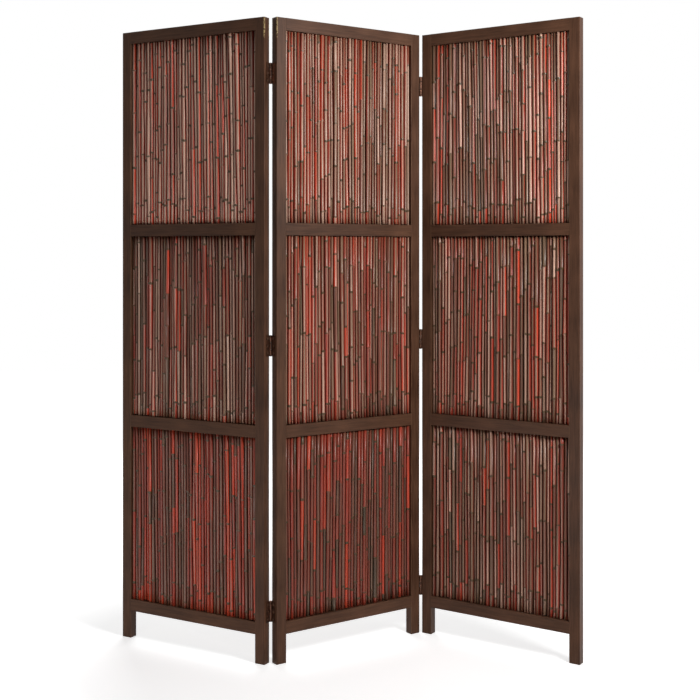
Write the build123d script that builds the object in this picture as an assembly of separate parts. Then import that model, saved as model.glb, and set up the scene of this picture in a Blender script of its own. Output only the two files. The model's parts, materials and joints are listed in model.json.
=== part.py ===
from build123d import *

import math
import os
import random

# Folding screen of three framed panels, each with three bays of upright bamboo sticks.
# Millimetres. +Z is up, -Y is the side the screen is seen from, and the feet stand on Z = 0.
# The origin is below the middle of the whole screen as it stands zigzag on the floor.

# Panel frame
panel_height = 1780
panel_width = 500
frame_depth = 25
stile_width = 31
rail_height = 34
edge_round = 1.5

# Undersides of the rails above the floor (the top rail hangs from the panel's top)
bottom_rail_lift = 80
lower_rail_lift = 621
upper_rail_lift = 1180

# Stub tenon and groove joinery, with the backing board in the same groove
board_thickness = 5
board_setback = 14
groove_depth = 9
groove_side_clearance = 0.1
groove_end_clearance = 0.6
tenon_shoulder = 8

# Bamboo sticks, laid side by side on the backing board
stick_pitch = 10.3
stick_gap_least = 0.6
stick_gap_most = 2.4
stick_width_spread = 0.2
stick_taper = 0.08
stick_glue_line = 0.1
stick_end_clearance = 0.3
stick_sides = 5

# Butt hinges on the end faces of the stiles
hinge_height = 58
knuckle_count = 3
knuckle_radius = 3
knuckle_clearance = 0.3
leaf_thickness = 1.4
leaf_width = 18
barrel_stand_off = 2
pin_radius = 1.25
pin_clearance = 0.05
pin_end = 0.6
top_hinge_drop = 153
middle_hinge_lift = 875
bottom_hinge_lift = 142

# The zigzag stance, in degrees seen from above
centre_turn = 35
left_fold_angle = 64.5
right_fold_angle = 69

# Sizes that follow from the ones above
panel_gap = 2 * knuckle_radius
bay_width = panel_width - 2 * stile_width
groove_width = board_thickness + 2 * groove_side_clearance
groove_front = board_setback - groove_side_clearance
tenon_length = groove_depth - groove_end_clearance
board_reach = groove_depth - groove_end_clearance
top_rail_lift = panel_height - rail_height
rail_lifts = {
    "bottom_rail": bottom_rail_lift,
    "lower_rail": lower_rail_lift,
    "upper_rail": upper_rail_lift,
    "top_rail": top_rail_lift,
}
bays = {
    "lower": (bottom_rail_lift + rail_height, lower_rail_lift),
    "middle": (lower_rail_lift + rail_height, upper_rail_lift),
    "upper": (upper_rail_lift + rail_height, top_rail_lift),
}
hinge_lifts = {
    "lower": bottom_hinge_lift,
    "middle": middle_hinge_lift,
    "upper": panel_height - top_hinge_drop,
}


def block(low, high):
    """A box from its lowest corner to its highest corner."""
    size = [b - a for a, b in zip(low, high)]
    return Pos(*low) * Box(*size, align=(Align.MIN, Align.MIN, Align.MIN))


# A panel is modelled in its own frame: X across it from its left end, Y from its front face
# to its rear face, Z up from the floor.

def stile(at_left):
    """An upright that runs down as a leg, grooved on its inner side, rounded on its outer edges."""
    blank = block((0, 0, 0), (stile_width, frame_depth, panel_height))
    outer = blank.faces().sort_by(Axis.X)[0]
    blank = fillet(outer.edges().filter_by(Axis.Z), edge_round)
    groove = block(
        (stile_width - groove_depth, groove_front, bottom_rail_lift + tenon_shoulder),
        (stile_width, groove_front + groove_width, panel_height - tenon_shoulder),
    )
    left = blank - groove
    if at_left:
        return left
    return Pos(panel_width, 0, 0) * mirror(left, about=Plane.YZ)


def rail(name):
    """A cross member with a stub tenon at each end and a groove in each edge that holds a board."""
    low = rail_lifts[name]
    high = low + rail_height
    grooved_below = name != "bottom_rail"
    grooved_above = name != "top_rail"
    body = block((stile_width, 0, low), (panel_width - stile_width, frame_depth, high))
    tenon_low = low + (groove_depth if grooved_below else tenon_shoulder)
    tenon_high = high - (groove_depth if grooved_above else tenon_shoulder)
    body += block(
        (stile_width - tenon_length, board_setback, tenon_low),
        (panel_width - stile_width + tenon_length, board_setback + board_thickness, tenon_high),
    )
    rear = groove_front + groove_width
    if grooved_below:
        body -= block((stile_width, groove_front, low), (panel_width - stile_width, rear, low + groove_depth))
    if grooved_above:
        body -= block((stile_width, groove_front, high - groove_depth), (panel_width - stile_width, rear, high))
    return body


def backing_board(bay):
    """A thin board held in the grooves all round a bay, behind the sticks."""
    low, high = bays[bay]
    return block(
        (stile_width - board_reach, board_setback, low - board_reach),
        (panel_width - stile_width + board_reach, board_setback + board_thickness, high + board_reach),
    )


def stick_row(slots, gaps):
    """Left edge and width of each stick at one end of a bay, from the share of the bay each slot takes."""
    scale = bay_width / sum(slots)
    row = []
    edge = stile_width
    for slot, gap in zip(slots, gaps):
        row.append((edge + gap / 2, slot * scale - gap))
        edge += slot * scale
    return row


def stick_outline(left, width, height):
    """The corners of one end of a stick: a regular polygon with a flat side against the backing board."""
    step = 360 / stick_sides
    corners = [math.radians(90 + step / 2 + step * number) for number in range(stick_sides)]
    radius = width / 2 / max(math.cos(corner) for corner in corners)
    flat = radius * math.sin(corners[0])
    middle_x, middle_y = left + width / 2, board_setback - stick_glue_line - flat
    return [
        Vector(middle_x + radius * math.cos(corner), middle_y + radius * math.sin(corner), height)
        for corner in corners
    ]


def stick(foot, head):
    """A tapered stick between two like outlines, so that its sides are flat."""
    outlines = [foot, head]
    for number in range(stick_sides):
        after = (number + 1) % stick_sides
        outlines.append([foot[number], foot[after], head[after], head[number]])
    return Solid(Shell([Face(Wire.make_polygon(outline)) for outline in outlines]))


def sticks(bay, seed):
    """One bay's bamboo: each stick differs a little in width and taper, so the row leans here and there."""
    chance = random.Random(seed)
    count = int(bay_width // stick_pitch)
    low, high = bays[bay]
    foot, head = [], []
    gaps = []
    for _ in range(count):
        slot = 1 + chance.uniform(-stick_width_spread, stick_width_spread)
        taper = chance.uniform(-stick_taper, stick_taper)
        foot.append(slot * (1 + taper))
        head.append(slot * (1 - taper))
        gaps.append(chance.uniform(stick_gap_least, stick_gap_most))
    ends = zip(stick_row(foot, gaps), stick_row(head, gaps))
    row = []
    for (foot_left, foot_width), (head_left, head_width) in ends:
        foot_outline = stick_outline(foot_left, foot_width, low + stick_end_clearance)
        head_outline = stick_outline(head_left, head_width, high - stick_end_clearance)
        row.append(stick(foot_outline, head_outline))
    return row


def panel(side, first_seed):
    """All the pieces of one panel's frame and filling, by name."""
    pieces = {
        f"{side}_panel_left_stile": stile(at_left=True),
        f"{side}_panel_right_stile": stile(at_left=False),
    }
    for name in rail_lifts:
        pieces[f"{side}_panel_{name}"] = rail(name)
    for number, bay in enumerate(bays):
        pieces[f"{side}_panel_{bay}_backing_board"] = backing_board(bay)
        pieces[f"{side}_panel_{bay}_bamboo_sticks"] = Compound(sticks(bay, first_seed + number))
    return pieces


# A hinge is modelled about its own axis at X = 0, Y = 0, from Z = 0 up. The leaf's back lies
# in the plane X = knuckle_radius, against the end face of its stile, and reaches towards -Y.

def leaf_outline_with_knuckle():
    """The leaf seen from above where it wraps round the pin."""
    inner = knuckle_radius - leaf_thickness
    wrap = 360 - math.degrees(math.acos(inner / knuckle_radius))
    with BuildSketch() as outline:
        with BuildLine():
            back = Line((knuckle_radius, -leaf_width), (knuckle_radius, 0))
            curl = CenterArc((0, 0), knuckle_radius, 0, wrap)
            face = Line(curl @ 1, (inner, -leaf_width))
            Line(face @ 1, back @ 0)
        make_face()
        Circle(pin_radius + pin_clearance, mode=Mode.SUBTRACT)
    return outline.sketch


def leaf_outline_beside_knuckle():
    """The leaf seen from above where it is cut back to clear the other leaf's knuckle."""
    inner = knuckle_radius - leaf_thickness
    cut_back = math.sqrt((knuckle_radius + knuckle_clearance) ** 2 - inner**2)
    low, high = (inner, -leaf_width), (knuckle_radius, -cut_back)
    return Pos(*low) * Rectangle(high[0] - low[0], high[1] - low[1], align=(Align.MIN, Align.MIN))


def hinge_leaf(own_knuckles):
    """A leaf of plate rolled into its own knuckles and cut back between them."""
    step = hinge_height / knuckle_count
    beside = leaf_outline_beside_knuckle()
    leaf = extrude(beside, hinge_height)
    wrapped = leaf_outline_with_knuckle()
    for number in own_knuckles:
        low = number * step + (knuckle_clearance / 2 if number > 0 else 0)
        high = (number + 1) * step - (knuckle_clearance / 2 if number < knuckle_count - 1 else 0)
        leaf += Pos(0, 0, low) * extrude(wrapped, high - low)
    return leaf


def hinge_pin():
    """The pin through all the knuckles, a little longer than the barrel."""
    pin = Cylinder(pin_radius, hinge_height + 2 * pin_end, align=(Align.CENTER, Align.CENTER, Align.MIN))
    return Pos(0, 0, -pin_end) * pin


# The left fold's barrels stand outside the rear faces and the right fold's outside the front
# faces, so the screen folds up like a concertina. Each fold gives the panel it carries, the
# places of its axis in the centre panel's frame and in that panel's, and the hinges' turn.
left_end_x = -panel_gap / 2
right_end_x = panel_width + panel_gap / 2
rear_axis_y = frame_depth + barrel_stand_off
front_axis_y = -barrel_stand_off
folds = {
    "left_fold": ("left", (left_end_x, rear_axis_y), (right_end_x, rear_axis_y), 0),
    "right_fold": ("right", (right_end_x, front_axis_y), (left_end_x, front_axis_y), 180),
}


def hinges():
    """Every hinge piece as (panel it is fixed to, name, shape in that panel's frame)."""
    centre_leaf = hinge_leaf(range(0, knuckle_count, 2))
    outer_leaf = mirror(hinge_leaf(range(1, knuckle_count, 2)), about=Plane.YZ)
    pin = hinge_pin()
    placed = []
    for fold, (side, centre_axis, side_axis, turn) in folds.items():
        pins = []
        for level, middle in hinge_lifts.items():
            foot = middle - hinge_height / 2
            on_centre = Pos(*centre_axis, foot) * Rot(0, 0, turn)
            on_side = Pos(*side_axis, foot) * Rot(0, 0, turn)
            placed.append(("centre", f"{fold}_{level}_hinge_centre_leaf", on_centre * centre_leaf))
            placed.append((side, f"{fold}_{level}_hinge_outer_leaf", on_side * outer_leaf))
            pins.append((on_centre * pin).solid())
        placed.append(("centre", f"{fold}_hinge_pins", Compound(pins)))
    return placed


# Where each panel stands. The centre panel turns about its own corner and the outer two
# hang from it on the fold axes.

def turned_point(point, angle):
    """A point in a panel's frame, as seen from above once the panel is turned."""
    x, y = point
    c, s = math.cos(math.radians(angle)), math.sin(math.radians(angle))
    return x * c - y * s, x * s + y * c


def stance(fold, fold_angle):
    """Where a fold's axis is, and the place of the panel that hangs on it."""
    _, centre_axis, side_axis, _ = folds[fold]
    axis = turned_point(centre_axis, centre_turn)
    angle = centre_turn - fold_angle
    hung = turned_point(side_axis, angle)
    return axis, Location((axis[0] - hung[0], axis[1] - hung[1], 0), (0, 0, angle))


left_axis, left_stance = stance("left_fold", left_fold_angle)
right_axis, right_stance = stance("right_fold", right_fold_angle)
stances = {
    "left": left_stance,
    "centre": Location((0, 0, 0), (0, 0, centre_turn)),
    "right": right_stance,
}

screen = {}
for order, side in enumerate(stances):
    for name, piece in panel(side, first_seed=10 * order).items():
        screen[name] = stances[side] * piece
for side, name, piece in hinges():
    screen[name] = stances[side] * piece

# The whole screen is centred over the origin
boxes = [piece.bounding_box() for piece in screen.values()]
centre_x = (min(b.min.X for b in boxes) + max(b.max.X for b in boxes)) / 2
centre_y = (min(b.min.Y for b in boxes) + max(b.max.Y for b in boxes)) / 2
to_origin = Pos(-centre_x, -centre_y, 0)

os.makedirs("parts", exist_ok=True)
for name, piece in screen.items():
    export_step(to_origin * piece, f"parts/{name}.step")

for label, axis in (("left fold", left_axis), ("right fold", right_axis)):
    print(f"{label} axis: x {axis[0] - centre_x:.4f} mm, y {axis[1] - centre_y:.4f} mm")
foot = turned_point((stile_width / 2, frame_depth / 2), centre_turn)
print(f"middle of the centre panel's left foot: x {foot[0] - centre_x:.4f}, y {foot[1] - centre_y:.4f} mm")
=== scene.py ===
import json
import logging
import math
import random
from dataclasses import dataclass, field
from enum import Enum
from typing import Any

import bmesh
import bpy
from mathutils import Matrix, Vector


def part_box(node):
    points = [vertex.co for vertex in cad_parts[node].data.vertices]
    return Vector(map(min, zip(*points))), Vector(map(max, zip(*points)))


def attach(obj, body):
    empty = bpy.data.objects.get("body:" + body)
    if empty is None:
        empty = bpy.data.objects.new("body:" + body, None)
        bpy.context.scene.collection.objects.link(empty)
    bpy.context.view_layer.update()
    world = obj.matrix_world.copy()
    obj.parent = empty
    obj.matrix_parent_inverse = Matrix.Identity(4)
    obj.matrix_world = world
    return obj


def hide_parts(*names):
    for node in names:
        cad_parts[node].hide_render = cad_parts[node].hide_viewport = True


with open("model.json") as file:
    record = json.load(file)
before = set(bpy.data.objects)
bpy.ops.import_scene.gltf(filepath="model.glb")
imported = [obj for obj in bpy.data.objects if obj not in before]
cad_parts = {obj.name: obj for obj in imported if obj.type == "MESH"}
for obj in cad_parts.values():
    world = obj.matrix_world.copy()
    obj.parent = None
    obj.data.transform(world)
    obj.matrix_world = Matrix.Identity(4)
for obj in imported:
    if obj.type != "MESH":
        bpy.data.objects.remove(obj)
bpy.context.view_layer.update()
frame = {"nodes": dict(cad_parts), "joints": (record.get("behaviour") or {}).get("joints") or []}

log = logging.getLogger("screen")

MM = 0.001

# The sticks' seeds are the solid model's: each panel's rows start at the next round ten
SEEDS_PER_PANEL = 10

Range = tuple[float, float]
Stops = tuple[tuple[float, str], ...]
Tree = bpy.types.NodeTree
Socket = bpy.types.NodeSocket
Material = bpy.types.Material


# Panels, bays and folds

class Side(Enum):
    """The three panels, from the left as the screen is seen from the front."""

    LEFT = "left"
    CENTRE = "centre"
    RIGHT = "right"

    @property
    def body(self) -> str:
        """The body that everything on this panel rides on."""
        return f"{self.value}_panel"


class Bay(Enum):
    """The three openings in a panel, each with the rails below and above it."""

    LOWER = ("lower", "bottom_rail", "lower_rail")
    MIDDLE = ("middle", "lower_rail", "upper_rail")
    UPPER = ("upper", "upper_rail", "top_rail")

    @property
    def word(self) -> str:
        """The bay's name as the nodes have it."""
        return self.value[0]

    def span(self, side: Side) -> Range:
        """Heights of the opening's lower and upper edge, in metres.

        Args:
            side: The panel that the opening is in.

        Returns:
            The top of the rail below and the underside of the rail above.
        """
        _, below, above = self.value
        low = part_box(f"{side.body}_{below}")[1].z
        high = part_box(f"{side.body}_{above}")[0].z
        return low, high


class Fold(Enum):
    """The two folds: the left one has its hinges at the rear and the right one at the front."""

    LEFT = "left_fold"
    RIGHT = "right_fold"


class Grain(Enum):
    """Which way the wood's fibres run in a member."""

    UPRIGHT = "upright"
    ACROSS = "across"


class Wear(Enum):
    """How worn a surface of the frame is."""

    WHOLE = "face"
    RUBBED_CORNER = "rubbed_corner"


@dataclass(frozen=True)
class BayLook:
    """The least and most rubbing of one bay's sticks, and of their lacquer's and cane's tones; in the upper
    bays the rubbing and the cane's tone run higher, which paints a highlight on the crown stripes there.
    """

    rubbed: Range
    tones: Range
    canes: Range


# Upper bays, the left one most, get more rubbing and paler cane: a painted highlight on the crown stripes
# that stands for the sheen of light from above, besides wear and tones that differ at random.
BAY_LOOKS_WITH_PAINTED_HIGHLIGHT = {
    (Side.LEFT, Bay.UPPER): BayLook((0.7, 1.4), (0.55, 1.1), (0.85, 1.0)),
    (Side.LEFT, Bay.MIDDLE): BayLook((0.3, 1.0), (0.1, 1.0), (0.1, 1.0)),
    (Side.LEFT, Bay.LOWER): BayLook((0.05, 0.55), (0.15, 1.05), (0.0, 0.6)),
    (Side.CENTRE, Bay.UPPER): BayLook((0.5, 1.1), (0.25, 1.0), (0.1, 0.9)),
    (Side.CENTRE, Bay.MIDDLE): BayLook((0.2, 0.9), (0.1, 0.95), (0.0, 0.9)),
    (Side.CENTRE, Bay.LOWER): BayLook((0.0, 0.25), (0.0, 0.95), (0.0, 0.5)),
    (Side.RIGHT, Bay.UPPER): BayLook((0.6, 1.1), (0.15, 1.0), (0.1, 1.0)),
    (Side.RIGHT, Bay.MIDDLE): BayLook((0.35, 1.0), (0.1, 1.0), (0.1, 1.0)),
    (Side.RIGHT, Bay.LOWER): BayLook((0.3, 0.9), (0.05, 0.95), (0.1, 1.0)),
}


@dataclass(frozen=True)
class PanelSizes:
    """The panel's sizes in millimetres that place what is made here."""

    width: float = 500
    depth: float = 25
    stile_width: float = 31
    gap_between_panels: float = 6
    barrel_stand_off: float = 2
    board_setback: float = 14


@dataclass(frozen=True)
class Stance:
    """Where a panel stands: its own X runs across it from its left end, its Y from front to rear."""

    side: Side
    turn: float
    corner: Vector

    @staticmethod
    def hung(side: Side, turn_deg: float, axis: Vector, local_mm: Range) -> "Stance":
        """A stance from a fold axis that passes through a known point of the panel.

        Args:
            side: The panel.
            turn_deg: How far it is turned, in degrees seen from above.
            axis: The fold axis in the shared frame, in metres.
            local_mm: The same axis in the panel's own frame, in millimetres.

        Returns:
            The stance that puts the one on the other.
        """
        turn = math.radians(turn_deg)
        local = Vector((local_mm[0] * MM, local_mm[1] * MM, 0))
        return Stance(side, turn, axis - Matrix.Rotation(turn, 3, "Z") @ local)

    def settle(self, mesh: bmesh.types.BMesh) -> None:
        """Moves a mesh from the panel's frame, in millimetres, to the shared one, faces outward.

        Args:
            mesh: The mesh, made of closed shapes.
        """
        to_shared = Matrix.Translation(self.corner) @ Matrix.Rotation(self.turn, 4, "Z")
        mesh.transform(to_shared @ Matrix.Scale(MM, 4))
        bmesh.ops.recalc_face_normals(mesh, faces=mesh.faces)


def stances(sizes: PanelSizes, centre_turn: float = 35.0) -> dict[Side, Stance]:
    """Where the three panels stand, from the fold axes.

    Args:
        sizes: The panel's sizes.
        centre_turn: The centre panel's turn in degrees, seen from above.

    Returns:
        The stances from left to right.
    """
    joints = {joint["name"]: joint for joint in frame["joints"]}
    left_axis, right_axis = (Vector(joints[fold.value]["pos_m"]) for fold in Fold)
    left_angle, right_angle = (-joints[fold.value]["range_deg"][0] for fold in Fold)
    before = -sizes.gap_between_panels / 2
    beyond = sizes.width + sizes.gap_between_panels / 2
    rear = sizes.depth + sizes.barrel_stand_off
    front = -sizes.barrel_stand_off
    hung = (
        Stance.hung(Side.LEFT, centre_turn - left_angle, left_axis, (beyond, rear)),
        Stance.hung(Side.CENTRE, centre_turn, left_axis, (before, rear)),
        Stance.hung(Side.RIGHT, centre_turn - right_angle, right_axis, (before, front)),
    )
    return {stance.side: stance for stance in hung}


# Nodes, materials and meshes

def srgb(code: str) -> tuple[float, float, float, float]:
    """Turns an sRGB hex colour to the linear colour that shaders take.

    Args:
        code: Six hex digits after a hash sign.

    Returns:
        Linear red, green, blue and an alpha of 1.
    """
    parts = [int(code[i:i + 2], 16) / 255 for i in (1, 3, 5)]
    linear = [c / 12.92 if c <= 0.04045 else ((c + 0.055) / 1.055) ** 2.4 for c in parts]
    return (*linear, 1.0)


def add_node(
    tree: Tree, kind: str, inputs: dict[str | int, Any] | None = None, stops: Stops = (), **settings: Any,
) -> bpy.types.Node:
    """Adds a node to a tree with its settings, values and links.

    Args:
        tree: The node tree.
        kind: The node's type name.
        inputs: Sockets by name or number, each with a value or the output socket that feeds it.
        stops: Place from 0 to 1 and hex colour of each stop, where the node is a colour ramp.
        settings: The node's own properties.

    Returns:
        The node.
    """
    node = tree.nodes.new(kind)
    for name, value in settings.items():
        setattr(node, name, value)
    for name, value in (inputs or {}).items():
        if isinstance(value, Socket):
            tree.links.new(value, node.inputs[name])
        else:
            node.inputs[name].default_value = value
    for number, (place, code) in enumerate(stops):
        ramp = node.color_ramp.elements
        stop = ramp[number] if number < len(ramp) else ramp.new(place)
        stop.position = place
        stop.color = srgb(code)
    return node


def new_material(name: str) -> tuple[Material, Tree]:
    """Starts a node material.

    Args:
        name: The material's name.

    Returns:
        The material and its empty node tree.
    """
    material = bpy.data.materials.new(name)
    material.use_nodes = True
    material.node_tree.nodes.clear()
    return material, material.node_tree


def drawn_out(tree: Tree, size_mm: tuple[float, float, float]) -> Socket:
    """Object coordinates in units of a pattern's real size along each axis.

    Args:
        tree: The material's tree.
        size_mm: The pattern's size along X, Y and Z, in millimetres.

    Returns:
        The coordinates.
    """
    place = add_node(tree, "ShaderNodeTexCoord").outputs["Object"]
    scaled = add_node(
        tree, "ShaderNodeMapping", {"Vector": place, "Scale": [size * MM for size in size_mm]},
        vector_type="TEXTURE",
    )
    return scaled.outputs["Vector"]


def extended(mesh: bmesh.types.BMesh, cap: bmesh.types.BMFace, from_plate: bool) -> bmesh.types.BMFace:
    """Grows a tube at its end face, for the caller to move the new end.

    Args:
        mesh: The tube's mesh.
        cap: The end face.
        from_plate: Whether this is the tube's first length, which leaves the plate as its other end.

    Returns:
        The new end face.
    """
    region = [cap, *cap.edges]
    grown = bmesh.ops.extrude_face_region(mesh, geom=region, use_keep_orig=from_plate)["geom"]
    return next(item for item in grown if isinstance(item, bmesh.types.BMFace))


def add_piece(mesh: bmesh.types.BMesh, name: str, finish: Material) -> bpy.types.Object:
    """Makes a finished mesh an object of the scene.

    Args:
        mesh: The mesh, which is used up.
        name: The object's name.
        finish: Its one material.

    Returns:
        The object.
    """
    data = bpy.data.meshes.new(name)
    mesh.to_mesh(data)
    mesh.free()
    data.materials.append(finish)
    piece = bpy.data.objects.new(name, data)
    bpy.context.scene.collection.objects.link(piece)
    return piece


# Finishes

@dataclass(frozen=True)
class StainedHardwood:
    """Solid hardwood, planed, stained espresso brown and sprayed with a thin satin lacquer.

    The stain hides most of the figure: what the eye gets is a dark brown with slightly
    darker pores drawn out along the fibres, a soft sheen and rubbed corners. Real pores are
    about 0.2 mm wide, too fine to show, so they are drawn some four times as coarse.

    Each pattern's size is its length along the fibres and its width across them.
    """

    stance: Stance
    grain: Grain
    depth_mm: float
    dark: str = "#3b2417"
    mid: str = "#533727"
    light: str = "#644432"
    rubbed: str = "#8a6d52"
    chipped: str = "#b39a6c"
    fibre_mm: Range = (90, 5)
    pore_mm: Range = (14, 0.9)
    cloud_mm: Range = (160, 160)
    chip_mm: Range = (4, 4)
    figure_limits: Range = (0.72, 1.28)
    pore_limits: Range = (0.56, 0.7)
    pore_darkness: float = 0.55
    rub_limits: Range = (0.42, 0.66)
    rub_share: Range = (0.05, 0.8)
    chip_limits: Range = (0.45, 0.53)
    chip_heights_mm: Range = (1720, 1732)
    chip_reach_mm: float = 3.5
    sheen_limits: Range = (0.3, 0.7)
    roughness: Range = (0.37, 0.49)
    specular: float = 0.15
    relief: float = 0.25
    relief_mm: float = 0.12

    def _along_grain(self, tree: Tree, size_mm: Range) -> Socket:
        """Coordinates in the panel's own frame, in units of a pattern's size.

        Args:
            tree: The material's tree.
            size_mm: The pattern's length along the fibres and its width across them.

        Returns:
            The coordinates.
        """
        length, width = size_mm
        scale = [width * MM] * 3
        scale[2 if self.grain is Grain.UPRIGHT else 0] = length * MM
        place = add_node(tree, "ShaderNodeTexCoord").outputs["Object"]
        turned = add_node(
            tree, "ShaderNodeMapping",
            {"Vector": place, "Location": self.stance.corner, "Rotation": (0, 0, self.stance.turn),
             "Scale": scale},
            vector_type="TEXTURE",
        )
        return turned.outputs["Vector"]

    def _pattern(self, tree: Tree, size_mm: Range, character: dict[str, float]) -> Socket:
        """An uneven pattern of a real size.

        Args:
            tree: The material's tree.
            size_mm: Its length along the fibres and its width across them.
            character: The noise's detail, and its roughness and distortion where they aren't usual.

        Returns:
            The pattern, about one half on average.
        """
        noise = add_node(
            tree, "ShaderNodeTexNoise",
            {"Vector": self._along_grain(tree, size_mm), "Scale": 1.0, **character},
        )
        return noise.outputs["Fac"]

    def _stain(self, tree: Tree, fibres: Socket, clouds: Socket, pores: Socket) -> Socket:
        """The stained wood's colour, darker in its pores.

        Args:
            tree: The material's tree.
            fibres: The pattern of the fibres.
            clouds: The pattern of broad light and dark patches.
            pores: The pattern of the pores.

        Returns:
            The colour.
        """
        figure = add_node(tree, "ShaderNodeMath", {0: fibres, 1: clouds}, operation="ADD").outputs[0]
        spread = add_node(
            tree, "ShaderNodeMapRange",
            {"Value": figure, "From Min": self.figure_limits[0], "From Max": self.figure_limits[1]},
        ).outputs[0]
        stain = add_node(
            tree, "ShaderNodeValToRGB", {"Fac": spread},
            stops=((0.0, self.dark), (0.5, self.mid), (1.0, self.light)),
        ).outputs["Color"]
        in_pore = add_node(
            tree, "ShaderNodeMapRange",
            {"Value": pores, "From Min": self.pore_limits[0], "From Max": self.pore_limits[1],
             "To Max": self.pore_darkness},
        ).outputs[0]
        return add_node(
            tree, "ShaderNodeMix", {"Factor": in_pore, 6: stain, 7: srgb(self.dark)}, data_type="RGBA",
        ).outputs[2]

    def _rub(self, tree: Tree, colour: Socket, fibres: Socket) -> Socket:
        """Stain rubbed thin along the fibres.

        Args:
            tree: The material's tree.
            colour: The stained wood's colour.
            fibres: The pattern of the fibres.

        Returns:
            The colour with paler wood showing.
        """
        rubbing = add_node(
            tree, "ShaderNodeMapRange",
            {"Value": fibres, "From Min": self.rub_limits[0], "From Max": self.rub_limits[1],
             "To Min": self.rub_share[0], "To Max": self.rub_share[1]},
        ).outputs[0]
        return add_node(
            tree, "ShaderNodeMix", {"Factor": rubbing, 6: colour, 7: srgb(self.rubbed)}, data_type="RGBA",
        ).outputs[2]

    def _chip(self, tree: Tree, colour: Socket, end_mm: float) -> Socket:
        """Pale chips along both corners of a panel's end, near the top, where two panels knock.

        Args:
            tree: The material's tree.
            colour: The wood's colour.
            end_mm: Where the end is across the panel.

        Returns:
            The colour with the chips.
        """
        millimetres = self._along_grain(tree, (1, 1))
        place = add_node(tree, "ShaderNodeSeparateXYZ", {0: millimetres}).outputs
        near_top = add_node(
            tree, "ShaderNodeMapRange",
            {"Value": place["Z"], "From Min": self.chip_heights_mm[0], "From Max": self.chip_heights_mm[1]},
        ).outputs[0]
        at_end = add_node(
            tree, "ShaderNodeMath", {0: place["X"], 1: end_mm, 2: self.chip_reach_mm}, operation="COMPARE",
        ).outputs[0]
        middle = self.depth_mm / 2
        between_corners = add_node(
            tree, "ShaderNodeMath", {0: place["Y"], 1: middle, 2: middle - self.chip_reach_mm},
            operation="COMPARE",
        ).outputs[0]
        at_corner = add_node(
            tree, "ShaderNodeMath", {0: at_end, 1: between_corners}, operation="SUBTRACT", use_clamp=True,
        ).outputs[0]
        chipped = add_node(
            tree, "ShaderNodeMapRange",
            {"Value": self._pattern(tree, self.chip_mm, {"Detail": 2.0}),
             "From Min": self.chip_limits[0], "From Max": self.chip_limits[1]},
        ).outputs[0]
        upper = add_node(tree, "ShaderNodeMath", {0: near_top, 1: chipped}, operation="MULTIPLY").outputs[0]
        share = add_node(tree, "ShaderNodeMath", {0: upper, 1: at_corner}, operation="MULTIPLY").outputs[0]
        return add_node(
            tree, "ShaderNodeMix", {"Factor": share, 6: colour, 7: srgb(self.chipped)}, data_type="RGBA",
        ).outputs[2]

    def make(self, wear: Wear, knocked_end_mm: float | None = None) -> Material:
        """Builds the material.

        Args:
            wear: How worn the surface is that it goes on.
            knocked_end_mm: Where a panel's end is that shows knocks, or nothing where it has none.

        Returns:
            The material.
        """
        name = f"espresso_stained_hardwood_{self.stance.side.value}_{self.grain.value}_{wear.value}"
        knocked = knocked_end_mm is not None
        material, tree = new_material(f"{name}_knocked" if knocked else name)
        fibres = self._pattern(tree, self.fibre_mm, {"Detail": 4.0, "Roughness": 0.6, "Distortion": 0.4})
        clouds = self._pattern(tree, self.cloud_mm, {"Detail": 2.0})
        pores = self._pattern(tree, self.pore_mm, {"Detail": 3.0, "Roughness": 0.7})
        colour = self._stain(tree, fibres, clouds, pores)
        if wear is Wear.RUBBED_CORNER:
            colour = self._rub(tree, colour, fibres)
        if knocked:
            colour = self._chip(tree, colour, knocked_end_mm)
        sheen = add_node(
            tree, "ShaderNodeMapRange",
            {"Value": clouds, "From Min": self.sheen_limits[0], "From Max": self.sheen_limits[1],
             "To Min": self.roughness[0], "To Max": self.roughness[1]},
        ).outputs[0]
        relief = add_node(
            tree, "ShaderNodeBump",
            {"Height": pores, "Strength": self.relief, "Distance": self.relief_mm * MM},
        ).outputs[0]
        shader = add_node(
            tree, "ShaderNodeBsdfPrincipled",
            {"Base Color": colour, "Roughness": sheen, "Specular IOR Level": self.specular,
             "Normal": relief},
        ).outputs[0]
        add_node(tree, "ShaderNodeOutputMaterial", {"Surface": shader})
        return material


@dataclass(frozen=True)
class StainedPlywood:
    """Thin plywood, sanded and stained dark: a flat, nearly matt sheet with a faint upright figure.

    In front it is only the darkness between the sticks, and behind it is the screen's plain back.
    """

    name: str = "dark_stained_plywood"
    stain: Stops = ((0.3, "#2c1c14"), (0.7, "#463024"))
    figure_mm: tuple[float, float, float] = (14, 14, 220)
    roughness: float = 0.6
    specular: float = 0.12
    relief: float = 0.15
    relief_mm: float = 0.3

    def make(self) -> Material:
        """Builds the material.

        Returns:
            The material.
        """
        material, tree = new_material(self.name)
        figure = add_node(
            tree, "ShaderNodeTexNoise",
            {"Vector": drawn_out(tree, self.figure_mm), "Scale": 1.0, "Detail": 5.0, "Roughness": 0.6,
             "Distortion": 0.8},
        ).outputs["Fac"]
        colour = add_node(tree, "ShaderNodeValToRGB", {"Fac": figure}, stops=self.stain).outputs["Color"]
        relief = add_node(
            tree, "ShaderNodeBump",
            {"Height": figure, "Strength": self.relief, "Distance": self.relief_mm * MM},
        ).outputs[0]
        shader = add_node(
            tree, "ShaderNodeBsdfPrincipled",
            {"Base Color": colour, "Roughness": self.roughness, "Specular IOR Level": self.specular,
             "Normal": relief},
        ).outputs[0]
        add_node(tree, "ShaderNodeOutputMaterial", {"Surface": shader})
        return material


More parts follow.
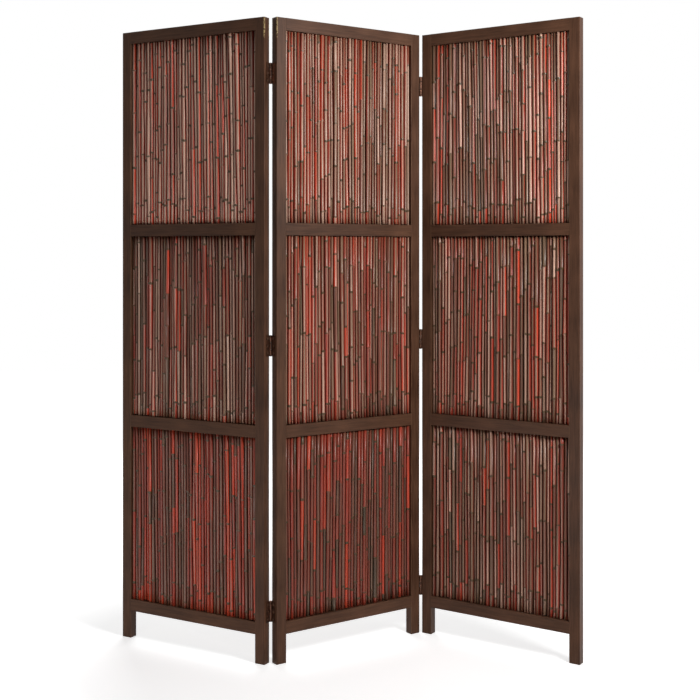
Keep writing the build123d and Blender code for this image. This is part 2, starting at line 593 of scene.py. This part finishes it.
@dataclass(frozen=True)
class LacqueredBamboo:
    """Thin bamboo sticks dipped in red lacquer, with a pale stripe down each crown that is partly
    lacquer rubbed back and partly a painted highlight.

    Every length between two nodes took the lacquer differently, from near black through
    maroon to orange red, and the stripe shows pinkish grey cane, whose paleness also stands
    for the sheen that light draws down each crown: a painted highlight, widest and palest in
    the upper bays. The nodes keep a dark ring, and a satin gloss draws a light line down every
    stick. Real bamboo's fibres are about 0.3 mm apart, too fine to show, so they are drawn
    about twice as coarse.

    A stripe's place and width are in radians round the stick from its crown.
    """

    name: str = "rubbed_and_highlight_striped_red_lacquered_bamboo"
    lacquer: Stops = (
        (0.0, "#4e4132"), (0.25, "#633c2c"), (0.5, "#7b3a2a"), (0.75, "#9e3828"), (1.0, "#d54a2e"),
    )
    cane: Stops = ((0.0, "#6e5941"), (0.35, "#8d7058"), (0.7, "#b08d78"), (1.0, "#dab39c"))
    node: str = "#4a3418"
    cut: str = "#8d7762"
    streak_mm: tuple[float, float, float] = (1.6, 1.6, 70)
    fibre_mm: tuple[float, float, float] = (0.7, 0.7, 25)
    blotch_mm: tuple[float, float, float] = (5, 5, 9)
    tone_streaks: float = 0.6
    # The crown stripe's width, raggedness, edge and depth: rubbed lacquer and painted highlight in one.
    stripe_width: float = 0.52
    stripe_spread: float = 0.6
    stripe_raggedness: float = 0.8
    stripe_edge: Range = (0.75, 1.25)
    bareness: float = 0.4
    bareness_spread: float = 0.65
    ring_edge: Range = (0.05, 0.2)
    roughness: float = 0.36
    specular: float = 0.3
    coat: float = 0.15
    coat_roughness: float = 0.2
    relief: float = 0.1
    relief_mm: float = 0.15

    def _pattern(self, tree: Tree, size_mm: tuple[float, float, float], detail: float) -> Socket:
        """An uneven pattern of a real size, drawn out along the sticks.

        Args:
            tree: The material's tree.
            size_mm: Its size along X, Y and Z.
            detail: How much finer noise is laid over it.

        Returns:
            The pattern, about one half on average.
        """
        place = drawn_out(tree, size_mm)
        noise = add_node(tree, "ShaderNodeTexNoise", {"Vector": place, "Scale": 1.0, "Detail": detail})
        return noise.outputs["Fac"]

    def _mark(self, tree: Tree, name: str) -> Socket:
        """What the sticks' mesh says under this name."""
        return add_node(tree, "ShaderNodeAttribute", attribute_name=name).outputs["Fac"]

    def _lacquer(self, tree: Tree, streaks: Socket) -> Socket:
        """The lacquer's colour, which varies a little along the stick.

        Args:
            tree: The material's tree.
            streaks: The pattern that runs along the stick.

        Returns:
            The colour.
        """
        plain = self._mark(tree, "internode_tone")
        streaked = add_node(
            tree, "ShaderNodeMath", {0: streaks, 1: self.tone_streaks, 2: plain}, operation="MULTIPLY_ADD",
        ).outputs[0]
        tone = add_node(
            tree, "ShaderNodeMath", {0: streaked, 1: self.tone_streaks / 2}, operation="SUBTRACT",
            use_clamp=True,
        ).outputs[0]
        return add_node(tree, "ShaderNodeValToRGB", {"Fac": tone}, stops=self.lacquer).outputs["Color"]

    def _rubbed_stripe(self, tree: Tree, streaks: Socket) -> Socket:
        """How pale the crown's stripe is, bare cane and painted highlight in one: a ragged stripe of each
        stick's own place and width.

        Args:
            tree: The material's tree.
            streaks: The pattern that runs along the stick.

        Returns:
            One where the pale stripe, bare cane and painted highlight, is fullest and zero under whole
            lacquer.
        """
        rubbing = self._mark(tree, "rubbing")
        aside = add_node(
            tree, "ShaderNodeMath", {0: self._mark(tree, "around"), 1: self._mark(tree, "stripe_place")},
            operation="SUBTRACT",
        ).outputs[0]
        distance = add_node(tree, "ShaderNodeMath", {0: aside}, operation="ABSOLUTE").outputs[0]
        ragged = add_node(
            tree, "ShaderNodeMath", {0: streaks, 1: self.stripe_raggedness, 2: distance},
            operation="MULTIPLY_ADD",
        ).outputs[0]
        width = add_node(
            tree, "ShaderNodeMath", {0: rubbing, 1: self.stripe_spread, 2: self.stripe_width},
            operation="MULTIPLY_ADD",
        ).outputs[0]
        share = add_node(tree, "ShaderNodeMath", {0: ragged, 1: width}, operation="DIVIDE").outputs[0]
        deepest = add_node(
            tree, "ShaderNodeMath", {0: rubbing, 1: self.bareness_spread, 2: self.bareness},
            operation="MULTIPLY_ADD", use_clamp=True,
        ).outputs[0]
        return add_node(
            tree, "ShaderNodeMapRange",
            {"Value": share, "From Min": self.stripe_edge[0], "From Max": self.stripe_edge[1],
             "To Min": deepest, "To Max": 0.0},
        ).outputs[0]

    def _node_ring(self, tree: Tree) -> Socket:
        """How dark a node's ring is, uneven round the stick.

        Args:
            tree: The material's tree.

        Returns:
            One on a dark ring and zero away from the nodes.
        """
        blotches = self._pattern(tree, self.blotch_mm, 1.0)
        uneven = add_node(
            tree, "ShaderNodeMath", {0: self._mark(tree, "node_ring"), 1: blotches}, operation="MULTIPLY",
        ).outputs[0]
        return add_node(
            tree, "ShaderNodeMapRange",
            {"Value": uneven, "From Min": self.ring_edge[0], "From Max": self.ring_edge[1]},
        ).outputs[0]

    def make(self) -> Material:
        """Builds the material.

        Returns:
            The material.
        """
        material, tree = new_material(self.name)
        streaks = self._pattern(tree, self.streak_mm, 2.0)
        cane = add_node(
            tree, "ShaderNodeValToRGB", {"Fac": self._mark(tree, "cane_and_highlight_tone")}, stops=self.cane,
        ).outputs["Color"]
        # Lacquer with the pale crown stripe laid over it, part bare cane and part painted highlight.
        skin = add_node(
            tree, "ShaderNodeMix",
            {"Factor": self._rubbed_stripe(tree, streaks), 6: self._lacquer(tree, streaks), 7: cane},
            data_type="RGBA",
        ).outputs[2]
        ringed = add_node(
            tree, "ShaderNodeMix", {"Factor": self._node_ring(tree), 6: skin, 7: srgb(self.node)},
            data_type="RGBA",
        ).outputs[2]
        colour = add_node(
            tree, "ShaderNodeMix", {"Factor": self._mark(tree, "cut_end"), 6: ringed, 7: srgb(self.cut)},
            data_type="RGBA",
        ).outputs[2]
        fibres = self._pattern(tree, self.fibre_mm, 2.0)
        relief = add_node(
            tree, "ShaderNodeBump",
            {"Height": fibres, "Strength": self.relief, "Distance": self.relief_mm * MM},
        ).outputs[0]
        shader = add_node(
            tree, "ShaderNodeBsdfPrincipled",
            {"Base Color": colour, "Roughness": self.roughness, "Specular IOR Level": self.specular,
             "Coat Weight": self.coat, "Coat Roughness": self.coat_roughness, "Normal": relief},
        ).outputs[0]
        add_node(tree, "ShaderNodeOutputMaterial", {"Surface": shader})
        return material


@dataclass(frozen=True)
class BronzedSteel:
    """Rolled steel with a dark bronze plating: brown where smooth, paler where hands have rubbed it."""

    name: str
    plated: str
    rubbed: str
    patch_mm: float = 6
    rub_limits: Range = (0.35, 0.75)
    sheen_limits: Range = (0.3, 0.7)
    roughness: Range = (0.48, 0.32)
    metallic: float = 0.8

    def make(self) -> Material:
        """Builds the material.

        Returns:
            The material.
        """
        material, tree = new_material(self.name)
        place = add_node(tree, "ShaderNodeTexCoord").outputs["Object"]
        patches = add_node(
            tree, "ShaderNodeTexNoise", {"Vector": place, "Scale": 1 / (self.patch_mm * MM), "Detail": 3.0},
        ).outputs["Fac"]
        colour = add_node(
            tree, "ShaderNodeValToRGB", {"Fac": patches},
            stops=((self.rub_limits[0], self.plated), (self.rub_limits[1], self.rubbed)),
        ).outputs["Color"]
        sheen = add_node(
            tree, "ShaderNodeMapRange",
            {"Value": patches, "From Min": self.sheen_limits[0], "From Max": self.sheen_limits[1],
             "To Min": self.roughness[0], "To Max": self.roughness[1]},
        ).outputs[0]
        shader = add_node(
            tree, "ShaderNodeBsdfPrincipled",
            {"Base Color": colour, "Metallic": self.metallic, "Roughness": sheen},
        ).outputs[0]
        add_node(tree, "ShaderNodeOutputMaterial", {"Surface": shader})
        return material


# Frames and boards

MEMBERS = {
    Grain.UPRIGHT: ("left_stile", "right_stile"),
    Grain.ACROSS: ("bottom_rail", "lower_rail", "upper_rail", "top_rail"),
}


@dataclass
class PanelFrame:
    """The stiles, rails and backing boards of one panel, dressed over their solid models."""

    stance: Stance
    sizes: PanelSizes
    knocked: tuple[tuple[Side, str], ...] = ((Side.LEFT, "right_stile"), (Side.CENTRE, "left_stile"))
    eased_corner_mm: float = 0.8
    easing_steps: int = 2
    weld_mm: float = 0.01
    flat_within_deg: float = 1
    corner_over_deg: float = 40

    def _ease(self, node: bpy.types.Object) -> None:
        """Rounds a member's sharp corners a little, with the rounding in the second material slot.

        Args:
            node: The member.
        """
        weld = node.modifiers.new("joined_faces", "WELD")
        weld.merge_threshold = self.weld_mm * MM
        flat = node.modifiers.new("whole_faces", "DECIMATE")
        flat.decimate_type = "DISSOLVE"
        flat.angle_limit = math.radians(self.flat_within_deg)
        eased = node.modifiers.new("eased_corners", "BEVEL")
        eased.limit_method = "ANGLE"
        eased.angle_limit = math.radians(self.corner_over_deg)
        eased.width = self.eased_corner_mm * MM
        eased.segments = self.easing_steps
        eased.material = 1

    def dress(self, board_finish: Material) -> None:
        """Gives each member its wood.

        Args:
            board_finish: The backing boards' material.
        """
        side = self.stance.side
        for grain, names in MEMBERS.items():
            wood = StainedHardwood(self.stance, grain, self.sizes.depth)
            plain = [wood.make(wear) for wear in Wear]
            for name in names:
                end = 0 if name == "left_stile" else self.sizes.width
                knocked = (side, name) in self.knocked
                node = frame["nodes"][f"{side.body}_{name}"]
                node.data.materials.clear()
                for material in [wood.make(wear, end) for wear in Wear] if knocked else plain:
                    node.data.materials.append(material)
                self._ease(node)
                log.info("%s_%s: %s grain, eased corners", side.body, name, grain.value)
        for bay in Bay:
            node = frame["nodes"][f"{side.body}_{bay.word}_backing_board"]
            node.data.materials.clear()
            node.data.materials.append(board_finish)
            log.info("%s_%s_backing_board: plywood", side.body, bay.word)


# Bamboo sticks

@dataclass(frozen=True)
class Ring:
    """One ring of points round a stick: its height, its swelling, and how dark a node is there."""

    height: float
    swell: float = 0.0
    dark: float = 0.0
    new_length: bool = False


@dataclass
class StickRow:
    """One bay's row of bamboo sticks, each with its nodes, its bends and its own colours.

    Sizes are in millimetres, in the panel's own frame, and the edges of the sticks are drawn
    with the same chances as in the solid model, so each stick stands where the plain one does.
    """

    stance: Stance
    bay: Bay
    seed: int
    sizes: PanelSizes
    look: BayLook
    pitch: float = 10.3
    gap: Range = (0.6, 2.4)
    width_spread: float = 0.2
    taper: float = 0.08
    glue_line: float = 0.1
    end_clearance: float = 0.3
    ragged_end: float = 3.0
    ragged_rarity: int = 3
    sides: int = 7
    first_node: Range = (0.15, 1)
    node_spacing: Range = (70, 225)
    ridge_height: float = 4.8
    ridges_clear_of_head: float = 3
    ridge_swell: Range = (0.12, 0.3)
    ridge_dark: Range = (0.3, 1.0)
    waist: float = 0.03
    depth: Range = (0.86, 1.0)
    bend: float = 1.5
    bend_length: Range = (260, 900)
    stripe_shift: float = 0.45
    tone_step: float = 0.16
    odd_length_share: float = 0.22
    chance: random.Random = field(init=False)

    def __post_init__(self) -> None:
        """Starts the row's own sequence of chances."""
        self.chance = random.Random(self.seed)

    @property
    def name(self) -> str:
        """The node that this row stands for."""
        return f"{self.stance.side.body}_{self.bay.word}_bamboo_sticks"

    def _edges(self) -> list[tuple[float, float, float, float]]:
        """Where the solid model has every stick's edges.

        Returns:
            Each stick's left and right edge at its foot, then at its head.
        """
        bay_width = self.sizes.width - 2 * self.sizes.stile_width
        foot, head, gaps = [], [], []
        for _ in range(int(bay_width // self.pitch)):
            slot = 1 + self.chance.uniform(-self.width_spread, self.width_spread)
            taper = self.chance.uniform(-self.taper, self.taper)
            foot.append(slot * (1 + taper))
            head.append(slot * (1 - taper))
            gaps.append(self.chance.uniform(*self.gap))
        edges = []
        foot_edge = head_edge = self.sizes.stile_width
        for foot_slot, head_slot, gap in zip(foot, head, gaps):
            foot_next = foot_edge + foot_slot * bay_width / sum(foot)
            head_next = head_edge + head_slot * bay_width / sum(head)
            half = gap / 2
            edges.append((foot_edge + half, foot_next - half, head_edge + half, head_next - half))
            foot_edge, head_edge = foot_next, head_next
        return edges

    def _bends(self, count: int) -> list[tuple[float, float, float]]:
        """How the sticks' common boundaries wander.

        Args:
            count: The number of sticks.

        Returns:
            How far, over what length and from what phase, for each boundary from the left.
        """
        bends = [(0.0, 1.0, 0.0)]
        for _ in range(count - 1):
            reach = self.chance.uniform(-self.bend, self.bend)
            length = self.chance.uniform(*self.bend_length)
            bends.append((reach, length, self.chance.uniform(0, math.tau)))
        bends.append((0.0, 1.0, 0.0))
        return bends

    def _rings(self, low: float, high: float) -> list[Ring]:
        """The rings of points up one stick, three at each node.

        Args:
            low: The stick's foot.
            high: The stick's head.

        Returns:
            The rings from foot to head.
        """
        rings = [Ring(low)]
        height = low + self.chance.uniform(*self.first_node) * self.node_spacing[0]
        while height < high - self.ridges_clear_of_head * self.ridge_height:
            swell = self.chance.uniform(*self.ridge_swell)
            dark = self.chance.uniform(*self.ridge_dark)
            rings.append(Ring(height, -self.waist))
            rings.append(Ring(height + self.ridge_height, swell, dark, new_length=True))
            rings.append(Ring(height + 2 * self.ridge_height))
            height += self.chance.uniform(*self.node_spacing)
        rings.append(Ring(high))
        return rings

    def _length_finish(self, stick_tone: float) -> dict[str, float]:
        """The finish of one length between nodes.

        Args:
            stick_tone: The tone that the whole stick tends to.

        Returns:
            The lacquer's tone, the cane's tone and the rubbing, by the name of their layer.
        """
        if self.chance.random() < self.odd_length_share:
            tone = self.chance.uniform(*self.look.tones)
        else:
            tone = stick_tone + self.chance.uniform(-self.tone_step, self.tone_step)
        return {
            "internode_tone": tone,
            # The cane's tone and the rubbing also set how pale and wide the crown stripe's painted
            # highlight is.
            "cane_and_highlight_tone": self.chance.uniform(*self.look.canes),
            "rubbing": self.chance.uniform(*self.look.rubbed),
        }

    def _stick(
        self, mesh: bmesh.types.BMesh, marks: dict[str, Any], edge: tuple[float, float, float, float],
        bends: list[tuple[float, float, float]], bay_span: Range, rings: list[Ring],
    ) -> None:
        """Draws one stick up from its foot, ring by ring.

        Args:
            mesh: The row's mesh.
            marks: The face and point layers that the finish reads.
            edge: Left and right edge at the foot and at the head.
            bends: How the boundaries on its left and right wander.
            bay_span: Heights of the bay's ends.
            rings: The stick's rings of points.
        """
        foot = bmesh.ops.create_circle(mesh, cap_ends=True, segments=self.sides, radius=1.0)["verts"]
        turn = math.pi + math.pi / self.sides - math.atan2(foot[0].co.y, foot[0].co.x)
        for vert in foot:
            around = math.atan2(vert.co.y, vert.co.x) + turn
            vert[marks["around"]] = math.remainder(around, math.tau)
        flat_to_middle = math.cos(math.pi / self.sides)
        back = self.sizes.board_setback - self.glue_line
        depth = self.chance.uniform(*self.depth)
        stripe_place = self.chance.uniform(-self.stripe_shift, self.stripe_shift)
        stick_tone = self.chance.triangular(*self.look.tones)
        finish = self._length_finish(stick_tone)
        cap = foot[0].link_faces[0]
        cap[marks["cut_end"]] = 1.0
        for number, ring in enumerate(rings):
            if number:
                cap = extended(mesh, cap, from_plate=number == 1)
                walls = {face for vert in cap.verts for face in vert.link_faces} - {cap}
                for wall in walls:
                    for name, value in {**finish, "stripe_place": stripe_place, "cut_end": 0.0}.items():
                        wall[marks[name]] = value
            share = (ring.height - bay_span[0]) / (bay_span[1] - bay_span[0])
            sway = [
                reach * math.sin(math.tau * ring.height / length + phase) for reach, length, phase in bends
            ]
            left = edge[0] + (edge[2] - edge[0]) * share + sway[0]
            right = edge[1] + (edge[3] - edge[1]) * share + sway[1]
            half = (right - left) / 2 * (1 + ring.swell)
            for vert in cap.verts:
                around = vert[marks["around"]]
                vert[marks["node_ring"]] = ring.dark
                vert.co.x = (left + right) / 2 + half * math.sin(around)
                vert.co.y = back - half * depth * (math.cos(around) + flat_to_middle)
                vert.co.z = ring.height
            if ring.new_length:
                finish = self._length_finish(stick_tone)

    def build(self, finish: Material) -> bpy.types.Object:
        """Makes the row as one piece that stands for the plain sticks.

        Args:
            finish: The bamboo's material.

        Returns:
            The piece, riding on its panel.
        """
        mesh = bmesh.new()
        on_faces = ("internode_tone", "cane_and_highlight_tone", "rubbing", "stripe_place", "cut_end")
        marks = {name: mesh.faces.layers.float.new(name) for name in on_faces}
        marks |= {name: mesh.verts.layers.float.new(name) for name in ("around", "node_ring")}
        bay_low, bay_high = (height / MM for height in self.bay.span(self.stance.side))
        edges = self._edges()
        bends = self._bends(len(edges))
        for number, edge in enumerate(edges):
            short_foot = self.ragged_end * self.chance.random() ** self.ragged_rarity
            short_head = self.ragged_end * self.chance.random() ** self.ragged_rarity
            rings = self._rings(
                bay_low + self.end_clearance + short_foot, bay_high - self.end_clearance - short_head,
            )
            self._stick(mesh, marks, edge, bends[number:number + 2], (bay_low, bay_high), rings)
        for face in mesh.faces:
            face.smooth = face[marks["cut_end"]] == 0
        self.stance.settle(mesh)
        piece = add_piece(mesh, self.name + "_detailed", finish)
        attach(piece, self.stance.side.body)
        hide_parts(self.name)
        log.info("%s: %d sticks, %d faces", piece.name, len(edges), len(piece.data.polygons))
        return piece


# Hinges

@dataclass
class HingePlates:
    """The hinges' leaves and pins, which keep the solid model's shape."""

    word_in_names: str = "hinge"

    def dress(self, finish: Material) -> None:
        """Gives every leaf and pin its metal.

        Args:
            finish: The metal's material.
        """
        for name, node in frame["nodes"].items():
            if self.word_in_names in name:
                node.data.materials.clear()
                node.data.materials.append(finish)
                log.info("%s: bronzed steel", name)


@dataclass
class HingeScrews:
    """The countersunk screws that hold one fold's leaves to one panel's end, three to a leaf.

    Sizes are in millimetres. The cross recess is given in shares of the head's radius, and
    each head is turned in degrees that differ from its neighbours', as a driver leaves them.
    """

    stance: Stance
    fold: Fold
    at_left_end: bool
    sizes: PanelSizes
    leaf_thickness: float = 1.4
    inset_from_axis: float = 10.5
    spacing: float = 20
    per_leaf: int = 3
    radius: float = 3.2
    sunk: float = 0.4
    proud: float = 0.3
    shoulder_share: float = 0.93
    crown_share: float = 0.6
    mouth_share: float = 0.5
    arm_share: float = 0.42
    waist_share: float = 0.15
    recess_taper: float = 0.8
    recess_depth: float = 0.9
    segments: int = 16
    arms: int = 4
    turn_per_screw: float = 37
    turn_per_mm_up: float = 11

    @property
    def name(self) -> str:
        """The piece's name, from the fold and the panel."""
        return f"{self.fold.value}_{self.stance.side.value}_hinge_screws"

    def _screw(self, mesh: bmesh.types.BMesh, place: Matrix) -> None:
        """One low domed head with a cross recess, facing its own +Z.

        Args:
            mesh: The piece's mesh.
            place: Where the head goes, in the panel's frame in millimetres.
        """
        floor = self.proud - self.recess_depth
        rings = (
            (1.0, 1.0, -self.sunk),
            (1.0, 1.0, 0.0),
            (self.shoulder_share, self.shoulder_share, self.proud / 2),
            (self.crown_share, self.crown_share, self.proud),
            (self.mouth_share, self.mouth_share, self.proud),
            (self.arm_share, self.waist_share, self.proud),
            (self.recess_taper * self.arm_share, self.recess_taper * self.waist_share, floor),
        )
        rim = bmesh.ops.create_circle(mesh, cap_ends=True, segments=self.segments, radius=1.0)["verts"]
        head = set(rim)
        cap = rim[0].link_faces[0]
        for number, (arm, waist, height) in enumerate(rings):
            if number:
                cap = extended(mesh, cap, from_plate=number == 1)
                head |= set(cap.verts)
            for corner, vert in enumerate(cap.verts):
                reach = self.radius * (arm if corner % (self.segments // self.arms) == 0 else waist)
                vert.co = Vector((vert.co.x, vert.co.y, 0)).normalized() * reach + Vector((0, 0, height))
        bmesh.ops.transform(mesh, matrix=place, verts=list(head))

    def build(self, finish: Material) -> bpy.types.Object:
        """Makes the screws as one piece.

        Args:
            finish: The screws' material.

        Returns:
            The piece, riding on its panel.
        """
        mesh = bmesh.new()
        outward = -1 if self.at_left_end else 1
        end = 0 if self.at_left_end else self.sizes.width
        stand_off = self.sizes.barrel_stand_off - self.inset_from_axis
        across = self.sizes.depth + stand_off if self.fold is Fold.LEFT else -stand_off
        facing = Matrix.Rotation(math.radians(90 * outward), 4, "Y")
        for bay in Bay:
            low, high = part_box(f"{self.fold.value}_{bay.word}_hinge_outer_leaf")
            middle = (low.z + high.z) / 2 / MM
            for number in range(self.per_leaf):
                height = middle + (number - (self.per_leaf - 1) / 2) * self.spacing
                spot = Vector((end + outward * self.leaf_thickness, across, height))
                turn = self.turn_per_screw * number + self.turn_per_mm_up * middle
                spun = Matrix.Rotation(math.radians(turn), 4, "Z")
                self._screw(mesh, Matrix.Translation(spot) @ facing @ spun)
        self.stance.settle(mesh)
        piece = add_piece(mesh, self.name, finish)
        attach(piece, self.stance.side.body)
        log.info("%s: %d screws", piece.name, len(Bay) * self.per_leaf)
        return piece


# Camera, floor and lamps

@dataclass(frozen=True)
class Softbox:
    """A soft rectangular lamp: where it stands and what it faces, in metres, and its power."""

    name: str
    place: tuple[float, float, float]
    aim: tuple[float, float, float]
    size: Range
    watts: float


@dataclass
class Studio:
    """The camera, the pale floor and the soft lamps."""

    camera_place_mm: tuple[float, float, float] = (-2.1, -3440.4, 1129.2)
    camera_turn_deg: float = 0.573
    lens_mm: float = 61.64
    shift: Range = (0.02498, -0.13762)
    floor_colour: str = "#f4f4f4"
    backdrop_colour: str = "#ffffff"
    floor_reach: float = 8.0
    shadow_share: float = 0.45
    shadow_reach: Range = (0.75, 1.3)
    ambient: float = 0.05
    softboxes: tuple[Softbox, ...] = (
        Softbox("right_close", (1.3, -1.4, 1.9), (0.0, 0.0, 1.3), (0.6, 0.6), 36),
        Softbox("right_mid", (2.4, -1.0, 1.1), (0.0, 0.0, 0.9), (0.8, 1.0), 4),
        Softbox("left_floor", (-1.0, -1.3, 0.15), (-0.4, 0.0, 0.5), (0.8, 0.2), 4),
        Softbox("rear_fill", (-0.6, 3.0, 2.0), (0.0, 0.0, 0.9), (2.0, 1.5), 70),
    )

    def camera(self) -> None:
        """Puts the camera where the photograph was taken from, level, with the frame shifted down."""
        data = bpy.data.cameras.new("camera")
        data.lens = self.lens_mm
        data.shift_x, data.shift_y = self.shift
        camera = bpy.data.objects.new("camera", data)
        camera.location = [place * MM for place in self.camera_place_mm]
        camera.rotation_euler = (math.radians(90), 0, math.radians(self.camera_turn_deg))
        bpy.context.scene.collection.objects.link(camera)
        bpy.context.scene.camera = camera

    def _seen(self, tree: Tree) -> Socket:
        """Tells what is seen directly, in a reflection or through glass from what only gives light.

        Args:
            tree: The tree of the material or the world.

        Returns:
            One where it is seen and zero where it gives light.
        """
        path = add_node(tree, "ShaderNodeLightPath").outputs
        either = add_node(
            tree, "ShaderNodeMath", {0: path["Is Camera Ray"], 1: path["Is Glossy Ray"]},
            operation="MAXIMUM",
        ).outputs[0]
        return add_node(
            tree, "ShaderNodeMath", {0: either, 1: path["Is Transmission Ray"]}, operation="MAXIMUM",
        ).outputs[0]

    def floor(self) -> None:
        """A pale floor that shows white, and keeps the screen's shadow near its feet."""
        material, tree = new_material("pale_floor")
        place = add_node(tree, "ShaderNodeTexCoord").outputs["Object"]
        away = add_node(tree, "ShaderNodeVectorMath", {0: place}, operation="LENGTH").outputs["Value"]
        white = add_node(
            tree, "ShaderNodeMapRange",
            {"Value": away, "From Min": self.shadow_reach[0], "From Max": self.shadow_reach[1],
             "To Min": 1 - self.shadow_share, "To Max": 1.0},
        ).outputs[0]
        glow = add_node(
            tree, "ShaderNodeMath", {0: white, 1: self._seen(tree)}, operation="MULTIPLY",
        ).outputs[0]
        plain = add_node(tree, "ShaderNodeBsdfDiffuse", {"Color": srgb(self.floor_colour)}).outputs[0]
        bright = add_node(
            tree, "ShaderNodeEmission", {"Color": srgb(self.backdrop_colour), "Strength": glow},
        ).outputs[0]
        both = add_node(tree, "ShaderNodeAddShader", {0: plain, 1: bright}).outputs[0]
        add_node(tree, "ShaderNodeOutputMaterial", {"Surface": both})
        mesh = bmesh.new()
        bmesh.ops.create_grid(mesh, x_segments=1, y_segments=1, size=self.floor_reach)
        add_piece(mesh, "floor", material)

    def world(self) -> None:
        """White where it is seen, and a low even light elsewhere."""
        world = bpy.data.worlds.new("studio")
        world.use_nodes = True
        tree = world.node_tree
        tree.nodes.clear()
        strength = add_node(
            tree, "ShaderNodeMapRange", {"Value": self._seen(tree), "To Min": self.ambient, "To Max": 1.0},
        ).outputs[0]
        light = add_node(
            tree, "ShaderNodeBackground", {"Color": srgb(self.backdrop_colour), "Strength": strength},
        ).outputs[0]
        add_node(tree, "ShaderNodeOutputWorld", {"Surface": light})
        bpy.context.scene.world = world

    def lamp(self, softbox: Softbox) -> None:
        """Adds a softbox as an area lamp.

        Args:
            softbox: Its place, aim, size and power.
        """
        data = bpy.data.lights.new(softbox.name, "AREA")
        data.shape = "RECTANGLE"
        data.size, data.size_y = softbox.size
        data.energy = softbox.watts
        lamp = bpy.data.objects.new(softbox.name, data)
        lamp.location = softbox.place
        direction = Vector(softbox.aim) - Vector(softbox.place)
        lamp.rotation_euler = direction.to_track_quat("-Z", "Y").to_euler()
        bpy.context.scene.collection.objects.link(lamp)

    def build(self) -> None:
        """Sets up everything that isn't the screen."""
        self.camera()
        self.floor()
        self.world()
        for softbox in self.softboxes:
            self.lamp(softbox)
        bpy.context.scene.view_settings.view_transform = "Standard"


def main() -> None:
    """Builds the screen's looks round its frame, panel by panel."""
    logging.basicConfig(level=logging.INFO, format="%(message)s")
    Studio().build()
    sizes = PanelSizes()
    standing = stances(sizes)
    plywood = StainedPlywood().make()
    bamboo = LacqueredBamboo().make()
    for order, (side, stance) in enumerate(standing.items()):
        PanelFrame(stance, sizes).dress(plywood)
        for number, bay in enumerate(Bay):
            seed = SEEDS_PER_PANEL * order + number
            StickRow(stance, bay, seed, sizes, BAY_LOOKS_WITH_PAINTED_HIGHLIGHT[side, bay]).build(bamboo)
    HingePlates().dress(BronzedSteel("dark_bronzed_steel", "#3a261c", "#7a5442").make())
    screw_steel = BronzedSteel("rubbed_bronzed_screw_steel", "#4d382c", "#a3846c").make()
    for side, fold, at_left_end in (
        (Side.LEFT, Fold.LEFT, False), (Side.CENTRE, Fold.LEFT, True),
        (Side.CENTRE, Fold.RIGHT, False), (Side.RIGHT, Fold.RIGHT, True),
    ):
        HingeScrews(standing[side], fold, at_left_end, sizes).build(screw_steel)


if __name__ == "__main__":
    main()
